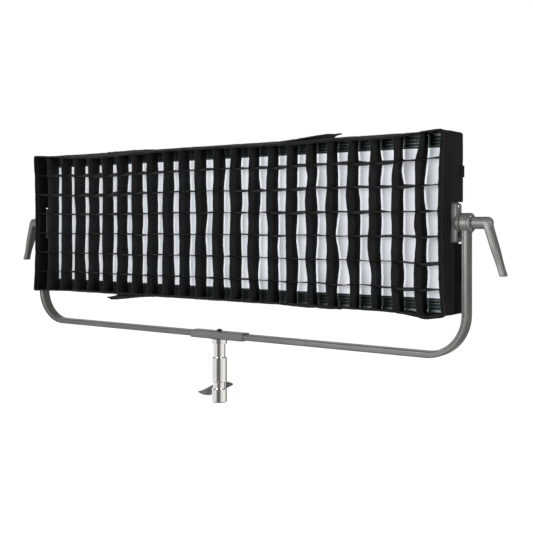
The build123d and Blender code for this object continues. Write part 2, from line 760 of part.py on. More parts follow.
def button(x):
    cap = block((x - 7, x + 7), (BOX_BACK - 3.4, BOX_BACK + 1.8), (BUTTON_Z - 4, BUTTON_Z + 4))
    cap = fillet(cap.edges().filter_by(Axis.Y), 2.0)
    return fillet(cap.faces().sort_by(Axis.Y)[-1].edges(), 0.6)


for button_name, button_x in BUTTONS.items():
    PARTS[button_name] = button(button_x)


# ---- fabric grid -------------------------------------------------------------------------------
HALF_L = GRID_LENGTH / 2
HALF_H = GRID_HEIGHT / 2
HEM = 9.0
SKIRT_BACK = FRONT_Y + SKIRT_DEPTH
DIVIDER_BACK = FRONT_Y + GRID_DEPTH
NOTCH_FRONT = -PLATE_HALF_Y - 1.6
NOTCH_HALF = PLATE_HEIGHT / 2 + 1.8
FLAP_X = 210.0
FLAP_LENGTH = 120.0


def long_panel():
    """Upper wall of the skirt with its folded hem."""
    wall = block((-HALF_L, HALF_L), (FRONT_Y, SKIRT_BACK), (HALF_H - CLOTH, HALF_H))
    return wall + block((-HALF_L, HALF_L), (FRONT_Y, FRONT_Y + HEM), (HALF_H - 2 * CLOTH, HALF_H))


def side_panel():
    """Right wall of the skirt, cut away round the pivot plate."""
    reach = HALF_H - CLOTH
    wall = block((HALF_L - CLOTH, HALF_L), (FRONT_Y + HEM, SKIRT_BACK), (-reach, reach))
    reach -= CLOTH
    wall += block((HALF_L - 2 * CLOTH, HALF_L), (FRONT_Y, FRONT_Y + HEM), (-reach, reach))
    return wall - block((HALF_L - 5, HALF_L + 1), (NOTCH_FRONT, SKIRT_BACK + 1), (-NOTCH_HALF, NOTCH_HALF))


def flap(side):
    """Leaf-shaped pull flap lying on the upper wall, its tip pointing away from the middle."""
    with BuildLine() as outline:
        ThreePointArc((-FLAP_LENGTH / 2, -14), (0, -21), (FLAP_LENGTH / 2, 0))
        ThreePointArc((FLAP_LENGTH / 2, 0), (0, 21), (-FLAP_LENGTH / 2, 14))
        Line((-FLAP_LENGTH / 2, 14), (-FLAP_LENGTH / 2, -14))
    leaf = extrude(make_face(outline.line), 2.4)
    if side < 0:
        leaf = mirror(leaf, about=Plane.YZ)
    return Pos(side * FLAP_X, -18, PIVOT_Z + HALF_H + 0.1) * leaf


@part("skirt_top")
def skirt_top():
    return long_panel()


@part("skirt_bottom")
def skirt_bottom():
    return mirror(long_panel(), about=Plane.XY.offset(PIVOT_Z))


@part("skirt_right")
def skirt_right():
    return side_panel()


@part("skirt_left")
def skirt_left():
    return left_of(side_panel())


@part("upright_strips")
def upright_strips():
    """Upright dividers, slotted from the back to half their depth for the cross strips."""
    reach = HALF_H - 2 * CLOTH - 0.1
    strips = []
    middle = (FRONT_Y + DIVIDER_BACK) / 2
    for column in range(1, COLUMNS):
        x = -HALF_L + column * CELL
        strip = block((x - STRIP / 2, x + STRIP / 2), (FRONT_Y + 0.5, DIVIDER_BACK), (-reach, reach))
        for row in range(1, ROWS):
            z = -HALF_H + row * CELL
            strip -= block((x - 2, x + 2), (middle - 0.2, DIVIDER_BACK + 1), (z - STRIP, z + STRIP))
        strips.append(strip)
    return solids_of(strips)


@part("cross_strips")
def cross_strips():
    """Lengthwise dividers, slotted from the front to half their depth for the upright strips."""
    reach = HALF_L - 2 * CLOTH - 0.1
    strips = []
    middle = (FRONT_Y + DIVIDER_BACK) / 2
    for row in range(1, ROWS):
        z = -HALF_H + row * CELL
        strip = block((-reach, reach), (FRONT_Y + 0.5, DIVIDER_BACK), (z - STRIP / 2, z + STRIP / 2))
        for column in range(1, COLUMNS):
            x = -HALF_L + column * CELL
            strip -= block((x - STRIP, x + STRIP), (FRONT_Y, middle + 0.2), (z - 2, z + 2))
        strips.append(strip)
    return solids_of(strips)


@part("top_flaps")
def top_flaps():
    return solids_of([flap(side) for side in (-1, 1)])


@part("bottom_flaps")
def bottom_flaps():
    return mirror(PARTS["top_flaps"], about=Plane.XY.offset(PIVOT_Z))


@part("side_tabs")
def side_tabs():
    """Short pull tabs at the back edge of the side walls, above and below the notch."""
    tabs = []
    for z in (-80.0, 80.0):
        tab = block((HALF_L + 0.1, HALF_L + 1.9), (SKIRT_BACK - 10, SKIRT_BACK + 3), (z - 9, z + 9))
        tabs += [tab, left_of(tab)]
    return solids_of(tabs)


os.makedirs("parts", exist_ok=True)
for name, shape in PARTS.items():
    export_step(shape, f"parts/{name}.step")
print(len(PARTS), "sub-parts")
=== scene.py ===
import json
import math
import random

import bpy
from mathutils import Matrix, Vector


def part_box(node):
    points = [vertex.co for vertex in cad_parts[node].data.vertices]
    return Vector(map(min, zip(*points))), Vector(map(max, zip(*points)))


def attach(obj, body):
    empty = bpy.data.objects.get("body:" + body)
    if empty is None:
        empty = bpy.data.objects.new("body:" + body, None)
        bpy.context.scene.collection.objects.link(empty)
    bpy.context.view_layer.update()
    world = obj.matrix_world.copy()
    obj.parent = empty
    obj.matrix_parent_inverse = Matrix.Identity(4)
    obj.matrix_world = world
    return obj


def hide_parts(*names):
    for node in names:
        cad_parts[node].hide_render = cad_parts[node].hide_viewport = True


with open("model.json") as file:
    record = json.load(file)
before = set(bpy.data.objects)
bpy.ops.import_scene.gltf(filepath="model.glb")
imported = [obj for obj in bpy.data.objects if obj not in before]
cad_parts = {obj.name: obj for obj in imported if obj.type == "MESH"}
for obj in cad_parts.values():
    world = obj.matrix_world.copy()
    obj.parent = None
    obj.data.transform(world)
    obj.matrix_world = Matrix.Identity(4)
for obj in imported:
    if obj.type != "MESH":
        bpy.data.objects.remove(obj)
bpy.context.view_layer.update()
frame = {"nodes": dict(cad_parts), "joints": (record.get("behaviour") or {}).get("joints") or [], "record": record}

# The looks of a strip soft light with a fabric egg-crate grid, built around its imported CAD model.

record = frame["record"]
nodes = frame["nodes"]

MM = 0.001
PICTURE = 533  # width and height of the picture, in its own units
CAMERA_X, CAMERA_Y = 1.034, -1.281  # the spigot's axis is at 0, 0
FLOOR_Z = -1.3


# ---- places read from the frame ----------------------------------------------------------------
def span(*names):
    """Lowest and highest corner of several CAD nodes together."""
    boxes = [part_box(name) for name in names]
    low = Vector([min(b[0][k] for b in boxes) for k in range(3)])
    high = Vector([max(b[1][k] for b in boxes) for k in range(3)])
    return low, high


PIVOT_Z = next(j["pos_m"][2] for j in frame["joints"] if j["name"] == "head_tilt")
skirt_low, skirt_high = span("skirt_top", "skirt_bottom", "skirt_left", "skirt_right")
HALF_L = skirt_high.x
HALF_H = (skirt_high.z - skirt_low.z) / 2
FRONT = skirt_low.y
BACK = skirt_high.y
COLUMNS = 23
ROWS = 7
CELL = 2 * HALF_L / COLUMNS
DIVIDER_BACK = span("upright_strips", "cross_strips")[1].y
HOUSING_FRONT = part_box("top_rail")[0][1]
plate_low, plate_high = span("pivot_plate_right")
NOTCH_FRONT = -12.9 * MM  # where the cloth's cut-out for the pivot plate begins
NOTCH_HALF = (plate_high.z - plate_low.z) / 2 + 1.8 * MM


# ---- camera, light and stage -------------------------------------------------------------------
def make_camera():
    """Level camera to the right of the lamp, its view shifted down."""
    focal = 900.9  # focal length and horizon are in the picture's units
    yaw = math.radians(35.92)
    horizon = 42.8  # how far the horizon is above the picture's centre
    data = bpy.data.cameras.new("camera")
    camera = bpy.data.objects.new("camera", data)
    bpy.context.scene.collection.objects.link(camera)
    camera.location = (CAMERA_X, CAMERA_Y, PIVOT_Z - 1.2 * MM)
    camera.rotation_euler = (math.radians(90), 0, yaw)
    data.sensor_width = 36
    data.lens = focal / PICTURE * data.sensor_width
    data.shift_y = -horizon / PICTURE
    data.clip_end = 60
    bpy.context.scene.camera = camera


def area_light(name, place, target, size, power):
    data = bpy.data.lights.new(name, "AREA")
    data.shape = "RECTANGLE"
    data.size, data.size_y = size
    data.energy = power
    light = bpy.data.objects.new(name, data)
    bpy.context.scene.collection.objects.link(light)
    light.location = place
    light.rotation_euler = (Vector(target) - Vector(place)).to_track_quat("-Z", "Y").to_euler()


def studio_ring(tree, vector, stops):
    """Grey level by bearing, in degrees from the camera's side of the lamp."""
    turn = tree.nodes.new("ShaderNodeMapping")
    turn.vector_type = "TEXTURE"
    turn.inputs["Rotation"].default_value = (0, 0, math.atan2(CAMERA_Y, CAMERA_X))
    radial = tree.nodes.new("ShaderNodeTexGradient")
    radial.gradient_type = "RADIAL"
    ring = tree.nodes.new("ShaderNodeValToRGB")
    while len(ring.color_ramp.elements) < len(stops):
        ring.color_ramp.elements.new(0.5)
    for element, (bearing, level) in zip(ring.color_ramp.elements, stops):
        element.position = (bearing + 180) / 360
        element.color = (level, level, level, 1)
    tree.links.new(vector, turn.inputs["Vector"])
    tree.links.new(turn.outputs["Vector"], radial.inputs["Vector"])
    tree.links.new(radial.outputs["Fac"], ring.inputs["Fac"])
    return ring.outputs["Color"]


def make_world():
    """Studio that is white behind the lamp and dimmer overhead and to its sides."""
    world = bpy.data.worlds.new("studio")
    bpy.context.scene.world = world
    world.use_nodes = True
    tree = world.node_tree
    tree.nodes.clear()
    where = tree.nodes.new("ShaderNodeTexCoord")
    ring = studio_ring(tree, where.outputs["Generated"],
                       [(-180, 1.0), (-132, 1.0), (-112, 0.2), (-76, 0.12), (-64, 0.5), (-50, 0.5),
                        (-36, 0.05), (14, 0.05), (30, 0.1), (90, 0.22), (104, 0.12), (132, 0.2),
                        (146, 1.0), (180, 1.0)])
    split = tree.nodes.new("ShaderNodeSeparateXYZ")
    height = tree.nodes.new("ShaderNodeMapRange")
    height.inputs["From Min"].default_value = 0.3
    height.inputs["From Max"].default_value = 0.6
    height.inputs["To Min"].default_value = 1.0
    height.inputs["To Max"].default_value = 0.2
    shade = tree.nodes.new("ShaderNodeBackground")
    out = tree.nodes.new("ShaderNodeOutputWorld")
    tree.links.new(ring, shade.inputs["Color"])
    tree.links.new(where.outputs["Generated"], split.inputs["Vector"])
    tree.links.new(split.outputs["Z"], height.inputs["Value"])
    tree.links.new(height.outputs["Result"], shade.inputs["Strength"])
    tree.links.new(shade.outputs["Background"], out.inputs["Surface"])


def make_stage():
    """Pale floor far below the lamp, as under a tall stand, fading to white behind it."""
    bpy.ops.mesh.primitive_plane_add(size=60, location=(0, 0, FLOOR_Z))
    floor = bpy.context.object
    floor.name = "floor"
    paint = bpy.data.materials.new("floor_paint")
    paint.use_nodes = True
    tree = paint.node_tree
    shader = tree.nodes["Principled BSDF"]
    shader.inputs["Base Color"].default_value = (0.3, 0.3, 0.3, 1)
    shader.inputs["Roughness"].default_value = 0.9
    where = tree.nodes.new("ShaderNodeTexCoord")
    length = tree.nodes.new("ShaderNodeVectorMath")
    length.operation = "LENGTH"
    fade = tree.nodes.new("ShaderNodeMapRange")
    fade.inputs["From Min"].default_value = 1.8
    fade.inputs["From Max"].default_value = 2.7
    ring = studio_ring(tree, where.outputs["Object"],
                       [(-180, 1.0), (-112, 1.0), (-98, 0.8), (-50, 0.85), (-36, 0.1), (8, 0.1), (22, 0.7),
                        (62, 1.0), (94, 0.95), (104, 0.1), (130, 0.1), (144, 1.0), (180, 1.0)])
    tree.links.new(where.outputs["Object"], length.inputs[0])
    tree.links.new(length.outputs["Value"], fade.inputs["Value"])
    tree.links.new(fade.outputs["Result"], shader.inputs["Emission Strength"])
    tree.links.new(ring, shader.inputs["Emission Color"])
    floor.data.materials.append(paint)
    area_light("centre_soft", (-0.2, -1.5, 0.4), (0.05, 0, 0.28), (0.9, 0.5), 31)
    area_light("right_key", (1.95, -0.82, 0.42), (0.46, 0, 0.28), (0.3, 0.6), 26)
    bpy.context.scene.view_settings.view_transform = "Standard"


# ---- materials ---------------------------------------------------------------------------------
class Nodes:
    """Small helper for writing a material's node tree."""

    def __init__(self, name, **values):
        self.material = bpy.data.materials.new(name)
        self.material.use_nodes = True
        self.tree = self.material.node_tree
        self.shader = self.tree.nodes["Principled BSDF"]
        for key, value in values.items():
            self.shader.inputs[key.replace("_", " ").title()].default_value = value

    def add(self, kind, **settings):
        node = self.tree.nodes.new("ShaderNode" + kind)
        for key, value in settings.items():
            if key in node.inputs:
                node.inputs[key].default_value = value
            else:
                setattr(node, key, value)
        return node

    def link(self, source, target):
        self.tree.links.new(source, target)

    def noise(self, scale, detail=4.0, stretch=None):
        where = self.add("TexCoord")
        vector = where.outputs["Object"]
        if stretch:
            mapping = self.add("Mapping")
            mapping.inputs["Scale"].default_value = stretch
            self.link(vector, mapping.inputs["Vector"])
            vector = mapping.outputs["Vector"]
        texture = self.add("TexNoise", Scale=scale, Detail=detail)
        self.link(vector, texture.inputs["Vector"])
        return texture.outputs["Fac"]

    def ramp(self, source, stops):
        ramp = self.add("ValToRGB")
        while len(ramp.color_ramp.elements) < len(stops):
            ramp.color_ramp.elements.new(0.5)
        for element, (position, colour) in zip(ramp.color_ramp.elements, stops):
            element.position = position
            element.color = (*colour, 1) if isinstance(colour, tuple) else (colour, colour, colour, 1)
        self.link(source, ramp.inputs["Fac"])
        return ramp.outputs["Color"]

    def spread(self, source, low, high):
        node = self.add("MapRange")
        node.inputs["To Min"].default_value = low
        node.inputs["To Max"].default_value = high
        self.link(source, node.inputs["Value"])
        return node.outputs["Result"]

    def maths(self, operation, a, b=0):
        node = self.add("Math", operation=operation)
        for index, value in enumerate((a, b)):
            if isinstance(value, (int, float)):
                node.inputs[index].default_value = value
            else:
                self.link(value, node.inputs[index])
        return node.outputs["Value"]

    def bump(self, height, distance, strength=1.0, after=None):
        node = self.add("Bump", Distance=distance, Strength=strength)
        self.link(height, node.inputs["Height"])
        if after is not None:
            self.link(after, node.inputs["Normal"])
        self.link(node.outputs["Normal"], self.shader.inputs["Normal"])
        return node.outputs["Normal"]


def lighter(colour, share):
    """The colour scaled by a share, which may also darken it."""
    return tuple(min(1.0, c * share) for c in colour)


def edge_mask(m, radius):
    """1 along sharp edges, from the turn between the rounded and the true normal."""
    bevel = m.add("Bevel", Radius=radius, samples=4)
    geometry = m.add("NewGeometry")
    dot = m.add("VectorMath", operation="DOT_PRODUCT")
    m.link(bevel.outputs["Normal"], dot.inputs[0])
    m.link(geometry.outputs["Normal"], dot.inputs[1])
    return m.ramp(dot.outputs["Value"], [(0.75, 1.0), (0.97, 0.0)])


def painted(name, colour, roughness, grain=1200.0, depth=0.00006, wear=1.35, metallic=0.0):
    """Powder-coated or cast metal: fine orange-peel grain, uneven tone and lighter worn edges."""
    m = Nodes(name, roughness=roughness, metallic=metallic)
    tone = m.ramp(m.noise(18.0, 5.0), [(0.3, lighter(colour, 0.86)), (0.7, lighter(colour, 1.14))])
    mix = m.add("Mix", data_type="RGBA")
    m.link(edge_mask(m, 0.0008), mix.inputs["Factor"])
    m.link(tone, mix.inputs[6])
    mix.inputs[7].default_value = (*lighter(colour, wear), 1)
    m.link(mix.outputs[2], m.shader.inputs["Base Color"])
    m.link(m.spread(m.noise(60.0, 3.0), roughness - 0.07, roughness + 0.1), m.shader.inputs["Roughness"])
    m.bump(m.noise(grain, 2.0), depth)
    return m.material


def metal(name, colour, roughness, stretch=None):
    """Bare metal; a stretch draws its grain out into turned rings or brushed lines."""
    m = Nodes(name, metallic=1.0, roughness=roughness)
    tone = m.ramp(m.noise(40.0, 4.0), [(0.35, lighter(colour, 0.93)), (0.65, colour)])
    m.link(tone, m.shader.inputs["Base Color"])
    if stretch:
        lines = m.noise(900.0, 2.0, stretch=stretch)
        m.link(m.spread(lines, roughness * 0.7, roughness * 1.5), m.shader.inputs["Roughness"])
        m.bump(lines, 0.00002, 0.6)
    else:
        m.link(m.spread(m.noise(150.0, 3.0), roughness * 0.8, roughness * 1.4), m.shader.inputs["Roughness"])
        m.bump(m.noise(500.0, 2.0), 0.00002, 0.5)
    return m.material


def moulded(name, colour, roughness, depth=0.00005):
    """Moulded plastic or rubber with a fine spark-eroded grain."""
    m = Nodes(name, roughness=roughness)
    tone = m.ramp(m.noise(25.0, 4.0), [(0.3, lighter(colour, 0.88)), (0.7, lighter(colour, 1.12))])
    m.link(tone, m.shader.inputs["Base Color"])
    m.link(m.spread(m.noise(90.0, 3.0), roughness - 0.06, roughness + 0.08), m.shader.inputs["Roughness"])
    m.bump(m.noise(1500.0, 2.0), depth)
    return m.material


def woven(name, colour, pitch=0.8 * MM, crossing_shade_pitch=0.0):
    """Plain-weave nylon: crossing yarns by the piece's own UV in metres, slubs and dusty mottling.

    A step distance paints shade on the cloth: dark lines at even steps, where other strips cross it.
    """
    roughness = 0.75
    m = Nodes(name, roughness=roughness, sheen_weight=0.04, sheen_roughness=0.45)
    m.shader.inputs["Specular IOR Level"].default_value = 0.12
    where = m.add("TexCoord")
    split = m.add("SeparateXYZ")
    m.link(where.outputs["UV"], split.inputs["Vector"])
    waves = [m.maths("SINE", m.maths("MULTIPLY", split.outputs[axis], math.pi / pitch)) for axis in "XY"]
    height = m.maths("ADD", *[m.maths("ABSOLUTE", wave) for wave in waves])
    mottle = m.noise(35.0, 6.0)
    tone = m.ramp(mottle, [(0.3, lighter(colour, 0.75)), (0.5, colour), (0.72, lighter(colour, 1.4))])
    yarn = m.add("Mix", data_type="RGBA", blend_type="MULTIPLY")
    yarn.inputs["Factor"].default_value = 0.6
    m.link(tone, yarn.inputs[6])
    m.link(m.ramp(m.maths("MULTIPLY", height, 0.5), [(0.0, 0.55), (0.9, 1.0)]), yarn.inputs[7])
    shade = yarn.outputs[2]
    if crossing_shade_pitch:
        # Painted shade: dark lines at each crossing of the other strips, where shade falls.
        place = m.maths("PINGPONG", m.maths("ADD", m.maths("DIVIDE", split.outputs["X"], crossing_shade_pitch), 0.5), 0.5)
        crossing = m.add("Mix", data_type="RGBA", blend_type="MULTIPLY")
        crossing.inputs["Factor"].default_value = 1.0
        m.link(shade, crossing.inputs[6])
        m.link(m.ramp(place, [(0.016, 0.25), (0.034, 1.0)]), crossing.inputs[7])
        shade = crossing.outputs[2]
    m.link(shade, m.shader.inputs["Base Color"])
    m.link(m.spread(m.noise(120.0, 4.0), roughness - 0.1, roughness + 0.1), m.shader.inputs["Roughness"])
    creases = m.bump(m.noise(70.0, 5.0), 0.0006, 0.5)
    m.bump(height, 0.00012, 0.8, after=creases)
    return m.material


def opal(name):
    """Opal diffuser sheet: matt and faintly cool, with a painted glow: a constant emission that stands in for
    light falling on it and evens out its shading.
    """
    m = Nodes(name, roughness=0.55)
    m.link(m.ramp(m.noise(6.0, 3.0), [(0.3, (0.40, 0.415, 0.44)), (0.7, (0.45, 0.465, 0.49))]),
           m.shader.inputs["Base Color"])
    m.link(m.spread(m.noise(60.0, 3.0), 0.48, 0.62), m.shader.inputs["Roughness"])
    m.bump(m.noise(1800.0, 2.0), 0.00003, 0.6)
    # Painted light: a constant cool glow that stands in for light falling on the sheet and flattens its shading.
    m.shader.inputs["Emission Color"].default_value = (0.88, 0.93, 1.0, 1)
    m.shader.inputs["Emission Strength"].default_value = 0.34
    return m.material


def build_materials():
    grey = (0.084, 0.084, 0.079)
    cast = (0.1, 0.1, 0.095)
    return {
        "yoke_paint": painted("yoke_paint", grey, 0.36),
        "casting_paint": painted("casting_paint", cast, 0.4, grain=800.0, depth=0.0001, wear=1.5),
        "plate_paint": painted("plate_paint", cast, 0.45, grain=800.0, depth=0.0001, wear=1.4),
        "spigot_steel": metal("spigot_steel", (0.82, 0.80, 0.77), 0.1, stretch=(0.02, 0.02, 1.0)),
        "bright_screw": metal("bright_screw", (0.85, 0.85, 0.83), 0.18),
        "dark_screw": metal("dark_screw", (0.10, 0.10, 0.10), 0.35),
        "wing_casting": painted("wing_casting", (0.07, 0.07, 0.074), 0.45, grain=700.0, depth=0.0001),
        "brass_pad": metal("brass_pad", (0.78, 0.58, 0.25), 0.3),
        "spring_steel": metal("spring_steel", (0.6, 0.6, 0.6), 0.25),
        "friction_fibre": moulded("friction_fibre", (0.05, 0.045, 0.04), 0.8),
        "rail_anodised": painted("rail_anodised", (0.055, 0.068, 0.067), 0.32, wear=1.6, metallic=0.85),
        "cap_black": painted("cap_black", (0.012, 0.012, 0.012), 0.45),
        "opal": opal("opal"),
        "white_lining": moulded("white_lining", (0.85, 0.85, 0.85), 0.6),
        "board_white": moulded("board_white", (0.8, 0.82, 0.8), 0.4),
        "chip_yellow": moulded("chip_yellow", (0.85, 0.7, 0.2), 0.4),
        "tray_aluminium": metal("tray_aluminium", (0.8, 0.81, 0.82), 0.35, stretch=(0.02, 1.0, 1.0)),
        "back_black": painted("back_black", (0.015, 0.015, 0.016), 0.42),
        "sink_black": painted("sink_black", (0.02, 0.02, 0.021), 0.4, metallic=0.4, wear=2.2),
        "box_black": painted("box_black", (0.018, 0.018, 0.019), 0.5, grain=900.0, depth=0.0001),
        "face_black": moulded("face_black", (0.014, 0.014, 0.014), 0.55),
        "window_tint": moulded("window_tint", (0.006, 0.008, 0.011), 0.08, depth=0.0),
        "module_green": moulded("module_green", (0.04, 0.1, 0.08), 0.5),
        "board_green": moulded("board_green", (0.03, 0.18, 0.08), 0.4),
        "supply_case": metal("supply_case", (0.7, 0.7, 0.7), 0.4),
        "contact_metal": metal("contact_metal", (0.83, 0.66, 0.35), 0.22),
        "connector_black": moulded("connector_black", (0.012, 0.012, 0.014), 0.3),
        "switch_black": moulded("switch_black", (0.012, 0.012, 0.012), 0.28),
        "knob_black": moulded("knob_black", (0.02, 0.02, 0.02), 0.6),
        "button_grey": moulded("button_grey", (0.11, 0.11, 0.115), 0.65),
        "black_cloth": woven("black_cloth", (0.0044, 0.0045, 0.0048)),
        # Painted light and shade: uprights and cross strips are one fabric; the uprights' colour is over twice as
        # light as the cross strips', to match how lit each looks.
        "divider_cloth": woven("divider_cloth", (0.0105, 0.0105, 0.0112), pitch=0.6 * MM, crossing_shade_pitch=CELL),
        "flap_cloth": woven("flap_cloth", (0.0065, 0.0065, 0.007), pitch=1.1 * MM),
        "cross_cloth": woven("cross_cloth", (0.0045, 0.0045, 0.0048), pitch=0.6 * MM),
    }


# ---- the grid's shape --------------------------------------------------------------------------
TOP_SAG = 7.5 * MM
BOTTOM_SAG = 6.0 * MM
SIDE_PULL = 6.0 * MM
WALL = 1.1 * MM  # thicknesses of the skirt, its hem tape and the dividers
TAPE = 0.4 * MM
STRIP = 0.9 * MM
# places along the lamp where an edge dips, with each dip's half width and depth
TOP_DIPS = [(-0.3, 0.13, 6.5 * MM), (0.36, 0.06, 6.0 * MM), (0.2, 0.09, 3.0 * MM)]
BOTTOM_DIPS = [(-0.34, 0.1, -2.0 * MM), (0.36, 0.04, -1.5 * MM), (0.433, 0.019, 4.0 * MM)]


def ease(t):
    """Smooth step from 0 to 1."""
    t = max(0.0, min(1.0, t))
    return t * t * (3 - 2 * t)


def overhang(y):
    """0 where the housing backs the cloth, 1 at the free front edge."""
    return ease((HOUSING_FRONT - y) / (HOUSING_FRONT - FRONT)) ** 0.9


def ripple(a, seed, count=4, longest=0.32):
    """Smooth seeded waviness, between about -1 and 1."""
    generator = random.Random(seed)
    total = 0.0
    for index in range(count):
        length = longest * (0.62 ** index)
        total += math.sin(2 * math.pi * a / length + generator.uniform(0, 6.28)) * 0.72 ** index
    return total / 2.2


def dips(x, places):
    """How far an edge dips at x; less than 0 where it bulges up."""
    return sum(depth * math.exp(-((x - place) / width) ** 2) for place, width, depth in places)


def warp(x, y, z):
    """Moves a point of the true square grid to where the slack cloth holds it; z from the middle."""
    lift = overhang(y)
    along = 1 - abs(x / HALF_L) ** 2.4
    up = (z / HALF_H + 1) / 2
    top = -TOP_SAG * along + 0.5 * MM * ripple(x, 11) - dips(x, TOP_DIPS)
    bottom = BOTTOM_SAG * along + 0.5 * MM * ripple(x, 12) - dips(x, BOTTOM_DIPS)
    side = -SIDE_PULL * (1 - abs(z / HALF_H) ** 2.2) + 0.5 * MM * ripple(z, 13, longest=0.2)
    dz = lift * (top * up + bottom * (1 - up))
    dx = lift * side * (x / HALF_L)
    return Vector((x + dx, y, PIVOT_Z + z + dz))


def cloth_piece(name, points, faces, uvs, material, thickness):
    """A piece of cloth of an even thickness that rides on the grid."""
    mesh = bpy.data.meshes.new(name)
    mesh.from_pydata([tuple(p) for p in points], [], faces)
    layer = mesh.uv_layers.new(name="cloth")
    for loop in mesh.loops:
        layer.data[loop.index].uv = uvs[loop.vertex_index]
    mesh.shade_smooth()
    mesh.materials.append(material)
    piece = bpy.data.objects.new(name, mesh)
    bpy.context.scene.collection.objects.link(piece)
    solid = piece.modifiers.new("thickness", "SOLIDIFY")
    solid.thickness = thickness
    solid.offset = 0
    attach(piece, "grid")
    return piece


def grid_faces(rows, columns, keep=lambda r, c: True, loop=False):
    """Quads of a rows by columns lattice of points; loop joins the last row to the first."""
    faces = []
    for r in range(rows if loop else rows - 1):
        following = (r + 1) % rows
        for c in range(columns - 1):
            if keep(r, c):
                faces.append((r * columns + c, following * columns + c,
                              following * columns + c + 1, r * columns + c + 1))
    return faces


def perimeter():
    """The wall's outline as (x, z, outward x, outward z), round its four soft corners."""
    radius = 4 * MM
    step = 5 * MM
    places = []
    sides = [
        ((-HALF_L + radius, HALF_H), (HALF_L - radius, HALF_H), (0, 1)),
        ((HALF_L, HALF_H - radius), (HALF_L, -HALF_H + radius), (1, 0)),
        ((HALF_L - radius, -HALF_H), (-HALF_L + radius, -HALF_H), (0, -1)),
        ((-HALF_L, -HALF_H + radius), (-HALF_L, HALF_H - radius), (-1, 0)),
    ]
    for index, (start, end, out) in enumerate(sides):
        stops = [(start, end)]
        if out[0]:
            notch = [z if start[1] > 0 else -z for z in (NOTCH_HALF, -NOTCH_HALF)]
            stops = [(start, (start[0], notch[0])), ((start[0], notch[0]), (start[0], notch[1])),
                     ((start[0], notch[1]), end)]
        for a, b in stops:
            count = max(1, round(math.dist(a, b) / step))
            for k in range(count):
                t = k / count
                places.append((a[0] + (b[0] - a[0]) * t, a[1] + (b[1] - a[1]) * t, *out))
        places.append((*end, *out))
        following = sides[(index + 1) % 4][2]
        centre = (end[0] - out[0] * radius, end[1] - out[1] * radius)
        for k in (1, 2, 3):
            angle = math.pi / 2 * k / 4
            nx = out[0] * math.cos(angle) + following[0] * math.sin(angle)
            nz = out[1] * math.cos(angle) + following[1] * math.sin(angle)
            places.append((centre[0] + nx * radius, centre[1] + nz * radius, nx, nz))
    return places


def on_wall(place, y, out=0.0):
    """A point on the skirt, or a little proud of it."""
    x, z, nx, nz = place
    point = warp(x, y, z)
    dent = 0.0  # where a divider's end is sewn to the wall
    for along, normal, cells in ((x, nz, COLUMNS), (z, nx, ROWS)):
        if abs(normal) > 0.9 and y < DIVIDER_BACK:
            dent = -0.7 * MM * max(0.0, math.cos(2 * math.pi * along / CELL + math.pi * cells)) ** 6
    slack = 0.5 * MM * ripple(x + 2.1 * z + 7 * y, 31, longest=0.11) * (1 if y < HOUSING_FRONT else 0.4)
    push = out + dent + slack + 0.3 * MM
    return point + Vector((nx * push, 0, nz * push))


def distances(places):
    """Distance walked along the outline to each of its places."""
    walked = [0.0]
    for before, here in zip(places, places[1:]):
        walked.append(walked[-1] + (Vector(here[:2]) - Vector(before[:2])).length)
    return walked


def make_skirt(cloth):
    """The outer wall all round, cut out at each end for the pivot plate."""
    places = perimeter()
    depths = [FRONT + d * MM for d in (0, 2, 4, 6.5, 9, 12, 15, 18)]
    depths += [NOTCH_FRONT - k * 1.5 * MM for k in (2, 1)]
    depths += [NOTCH_FRONT + (BACK - NOTCH_FRONT) * k / 13 for k in range(14)]
    depths.sort()
    points, uvs = [], []
    for place, walked in zip(places, distances(places)):
        for y in depths:
            points.append(on_wall(place, y))
            uvs.append((walked, y))
    count = len(places)

    def keep(r, c):
        z = (places[r][1] + places[(r + 1) % count][1]) / 2
        return not (abs(places[r][2]) > 0.9 and abs(z) < NOTCH_HALF and depths[c] > NOTCH_FRONT - 1e-6)

    faces = grid_faces(count, len(depths), keep, loop=True)
    piece = cloth_piece("skirt", points, faces, uvs, cloth, WALL)
    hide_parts("skirt_top", "skirt_bottom", "skirt_left", "skirt_right")


def make_hem(cloth):
    """Binding tape folded round the front edge of the skirt, open towards the back."""
    width = 9 * MM
    out = 1.05 * MM
    outer = [(width, out), (width * 0.5, out), (1.2 * MM, out), (0.3 * MM, out * 0.85),
             (-0.3 * MM, out * 0.4)]
    section = outer + [(depth, -rise) for depth, rise in reversed(outer)]
    places = perimeter()
    points, uvs = [], []
    for place, walked in zip(places, distances(places)):
        girth = 0.0
        for k, (depth, rise) in enumerate(section):
            if k:
                girth += math.dist(section[k - 1], section[k])
            wave = 0.12 * MM * (1 + ripple(walked, 41 + (rise > 0), longest=0.05)) * math.copysign(1, rise)
            base = on_wall(place, FRONT + max(depth, 0.0), rise + (wave if depth > 0 else 0))
            points.append(base + Vector((0, min(depth, 0.0), 0)))
            uvs.append((walked, girth))
    faces = grid_faces(len(places), len(section), loop=True)
    piece = cloth_piece("front_hem", points, faces, uvs, cloth, TAPE)


# ---- dividers ----------------------------------------------------------------------------------
PER_CELL = 8  # steps along each cell of a strip
DEEP = 7  # points from a strip's front edge to its back edge


def smooth_between(values, t):
    """Catmull-Rom through evenly spaced values at t, counted in intervals."""
    last = len(values) - 1
    i = max(0, min(last - 1, int(t)))
    f = t - i
    p0, p1 = values[max(i - 1, 0)], values[i]
    p2, p3 = values[i + 1], values[min(i + 2, last)]
    return 0.5 * (2 * p1 + (p2 - p0) * f + (2 * p0 - 5 * p1 + 4 * p2 - p3) * f * f
                  + (3 * p1 - p0 - 3 * p2 + p3) * f ** 3)


